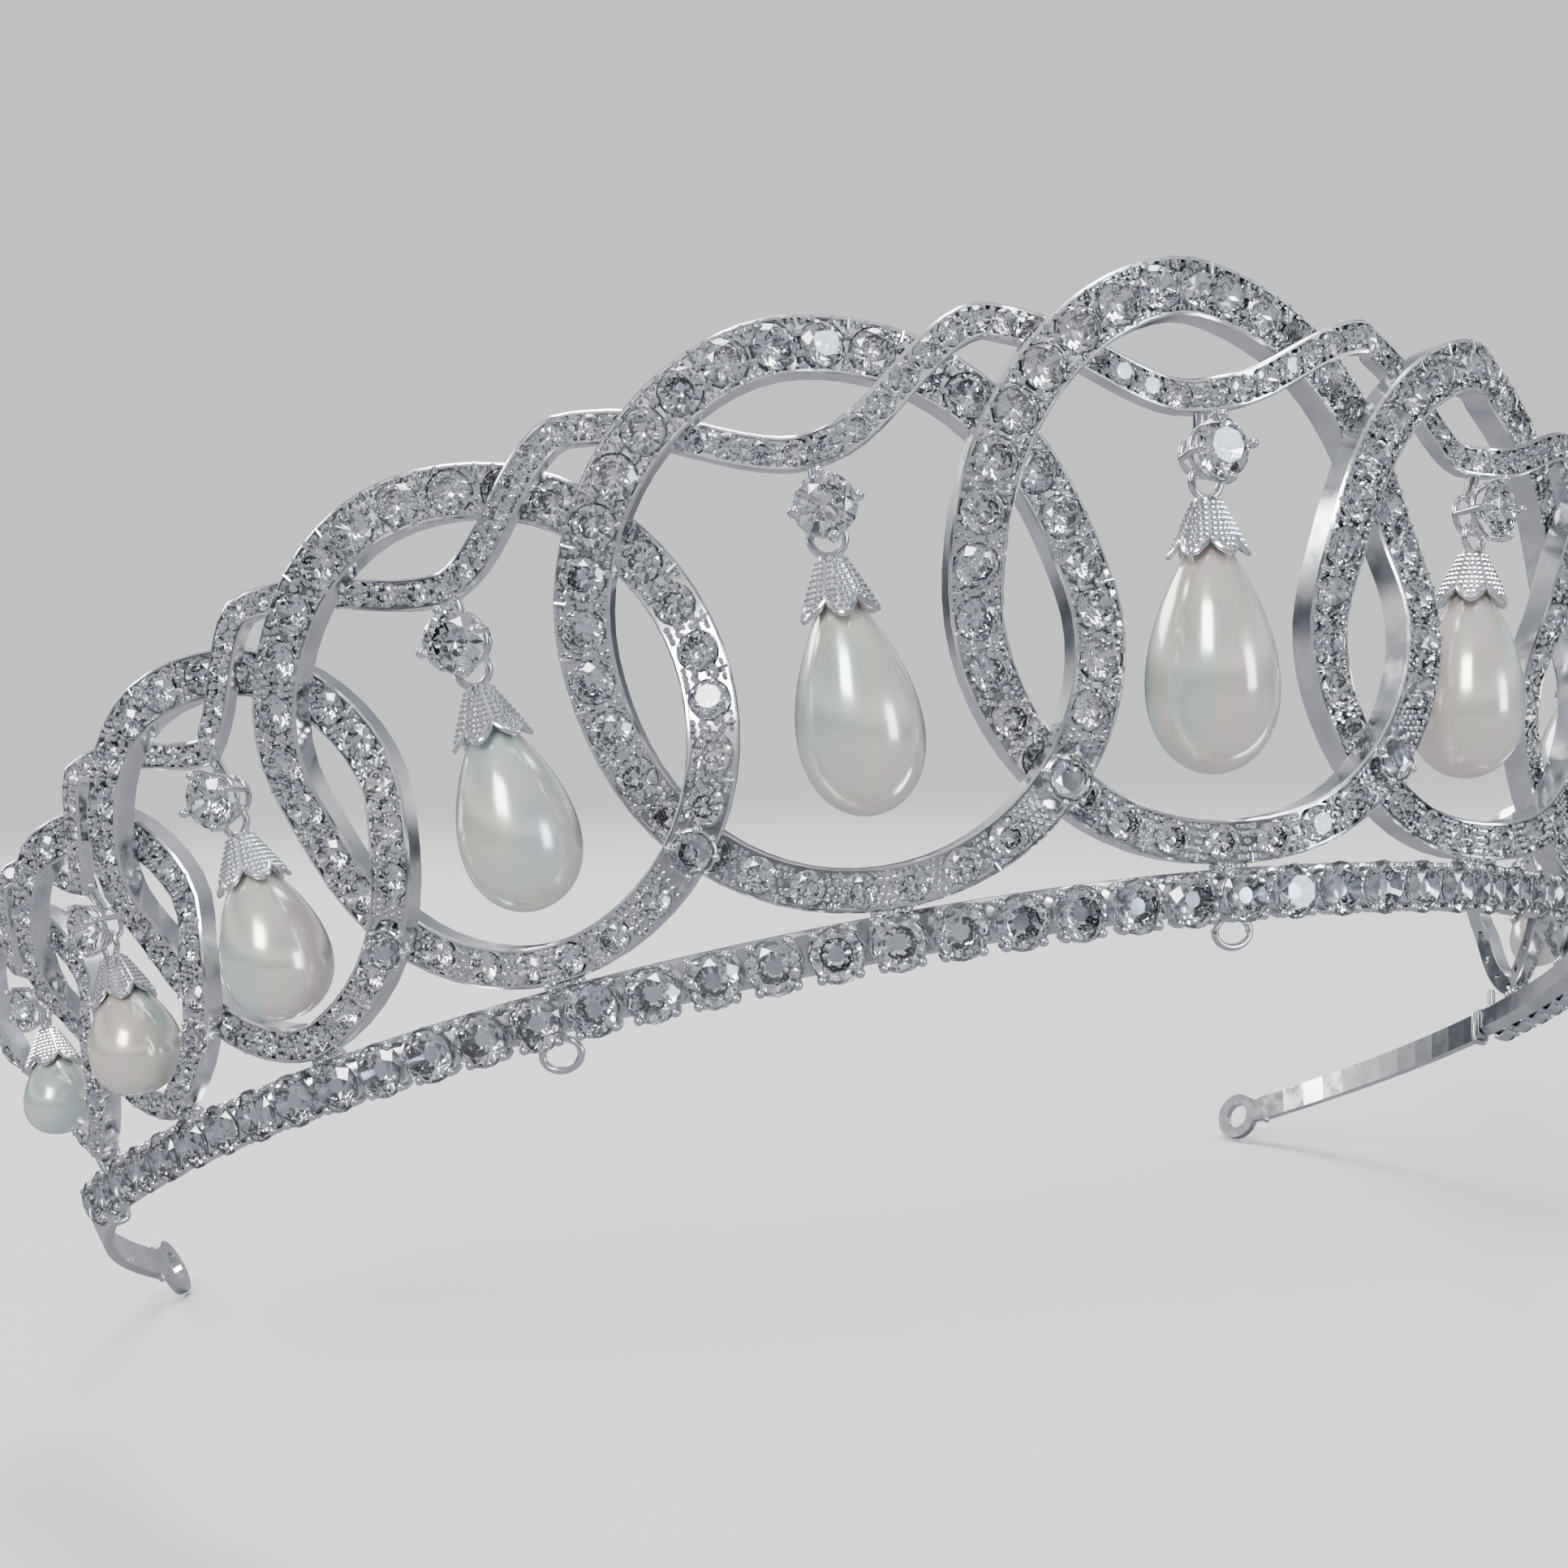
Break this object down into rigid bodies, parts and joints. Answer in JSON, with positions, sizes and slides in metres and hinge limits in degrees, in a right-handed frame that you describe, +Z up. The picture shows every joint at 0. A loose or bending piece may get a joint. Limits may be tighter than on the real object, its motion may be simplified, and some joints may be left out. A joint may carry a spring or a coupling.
{
  "type": "bridal tiara",
  "caption": "Bridal tiara of interlaced oval rings and a waved ribbon on a curved stone-set band, with swinging pearl drops and eyelet end straps.",
  "frame": {"origin": "centre of the band's circle at the middle of the band's height, where the wearer's head holds the tiara", "axes": "+X to the right seen from the front (the wearer's left), +Y from the front of the tiara towards the back of the head, +Z up with the tiara tipped as worn"},
  "size_m": [0.1713, 0.1052, 0.0921],
  "materials": {
    "rhodium_polished": "polished white rhodium plate",
    "rhodium_textured": "white rhodium plate, beaded caps with polished rims",
    "cut_stone": "colourless round brilliant-cut stones",
    "pearl": "cream-white pearl nacre with a soft silky sheen"
  },
  "bodies": {
    "tiara": {"base_band": "rhodium_polished", "band_stones": "cut_stone", "end_strap_left": "rhodium_polished", "end_strap_right": "rhodium_polished", "ribbon": "rhodium_polished", "ring_left_5": "rhodium_polished", "setting_left_5": "rhodium_polished", "stone_left_5": "cut_stone", "ring_left_4": "rhodium_polished", "setting_left_4": "rhodium_polished", "stone_left_4": "cut_stone", "ring_left_3": "rhodium_polished", "setting_left_3": "rhodium_polished", "stone_left_3": "cut_stone", "ring_left_2": "rhodium_polished", "setting_left_2": "rhodium_polished", "stone_left_2": "cut_stone", "ring_left_1": "rhodium_polished", "setting_left_1": "rhodium_polished", "stone_left_1": "cut_stone", "ring_center": "rhodium_polished", "setting_center": "rhodium_polished", "stone_center": "cut_stone", "ring_right_1": "rhodium_polished", "setting_right_1": "rhodium_polished", "stone_right_1": "cut_stone", "ring_right_2": "rhodium_polished", "setting_right_2": "rhodium_polished", "stone_right_2": "cut_stone", "ring_right_3": "rhodium_polished", "setting_right_3": "rhodium_polished", "stone_right_3": "cut_stone", "ring_right_4": "rhodium_polished", "setting_right_4": "rhodium_polished", "stone_right_4": "cut_stone", "ring_right_5": "rhodium_polished", "setting_right_5": "rhodium_polished", "stone_right_5": "cut_stone"},
    "drop_left_5": {"drop_cap_left_5": "rhodium_textured", "drop_pearl_left_5": "pearl"},
    "drop_left_4": {"drop_cap_left_4": "rhodium_textured", "drop_pearl_left_4": "pearl"},
    "drop_left_3": {"drop_cap_left_3": "rhodium_textured", "drop_pearl_left_3": "pearl"},
    "drop_left_2": {"drop_cap_left_2": "rhodium_textured", "drop_pearl_left_2": "pearl"},
    "drop_left_1": {"drop_cap_left_1": "rhodium_textured", "drop_pearl_left_1": "pearl"},
    "drop_center": {"drop_cap_center": "rhodium_textured", "drop_pearl_center": "pearl"},
    "drop_right_1": {"drop_cap_right_1": "rhodium_textured", "drop_pearl_right_1": "pearl"},
    "drop_right_2": {"drop_cap_right_2": "rhodium_textured", "drop_pearl_right_2": "pearl"},
    "drop_right_3": {"drop_cap_right_3": "rhodium_textured", "drop_pearl_right_3": "pearl"},
    "drop_right_4": {"drop_cap_right_4": "rhodium_textured", "drop_pearl_right_4": "pearl"},
    "drop_right_5": {"drop_cap_right_5": "rhodium_textured", "drop_pearl_right_5": "pearl"}
  },
  "joints": [
    {"name": "swing_left_5", "type": "hinge", "parent": "tiara", "child": "drop_left_5", "pos_m": [-0.07991, -0.01409, 0.02315], "axis": [-0.2686, 0.88, -0.3918], "range_deg": [-43.3, 4.7]},
    {"name": "swing_left_4", "type": "hinge", "parent": "tiara", "child": "drop_left_4", "pos_m": [-0.07461, -0.02734, 0.03056], "axis": [-0.4482, 0.8167, -0.3636], "range_deg": [-38.9, 9.1]},
    {"name": "swing_left_3", "type": "hinge", "parent": "tiara", "child": "drop_left_3", "pos_m": [-0.06571, -0.04065, 0.0404], "axis": [-0.6319, 0.708, -0.3152], "range_deg": [-34.4, 13.6]},
    {"name": "swing_left_2", "type": "hinge", "parent": "tiara", "child": "drop_left_2", "pos_m": [-0.05042, -0.05401, 0.05058], "axis": [-0.8111, 0.5344, -0.2379], "range_deg": [-30.3, 17.7]},
    {"name": "swing_left_1", "type": "hinge", "parent": "tiara", "child": "drop_left_1", "pos_m": [-0.02785, -0.06451, 0.05844], "axis": [-0.9477, 0.2916, -0.1298], "range_deg": [-27.3, 20.7]},
    {"name": "swing_center", "type": "hinge", "parent": "tiara", "child": "drop_center", "pos_m": [0, -0.06856, 0.06204], "axis": [-1, 0, 0], "range_deg": [-26.1, 21.9]},
    {"name": "swing_right_1", "type": "hinge", "parent": "tiara", "child": "drop_right_1", "pos_m": [0.02785, -0.06451, 0.05844], "axis": [-0.9477, -0.2916, 0.1298], "range_deg": [-27.3, 20.7]},
    {"name": "swing_right_2", "type": "hinge", "parent": "tiara", "child": "drop_right_2", "pos_m": [0.05042, -0.05401, 0.05058], "axis": [-0.8111, -0.5344, 0.2379], "range_deg": [-30.3, 17.7]},
    {"name": "swing_right_3", "type": "hinge", "parent": "tiara", "child": "drop_right_3", "pos_m": [0.06571, -0.04065, 0.0404], "axis": [-0.6319, -0.708, 0.3152], "range_deg": [-34.4, 13.6]},
    {"name": "swing_right_4", "type": "hinge", "parent": "tiara", "child": "drop_right_4", "pos_m": [0.07461, -0.02734, 0.03056], "axis": [-0.4482, -0.8167, 0.3636], "range_deg": [-38.9, 9.1]},
    {"name": "swing_right_5", "type": "hinge", "parent": "tiara", "child": "drop_right_5", "pos_m": [0.07991, -0.01409, 0.02315], "axis": [-0.2686, -0.88, 0.3918], "range_deg": [-43.3, 4.7]}
  ]
}
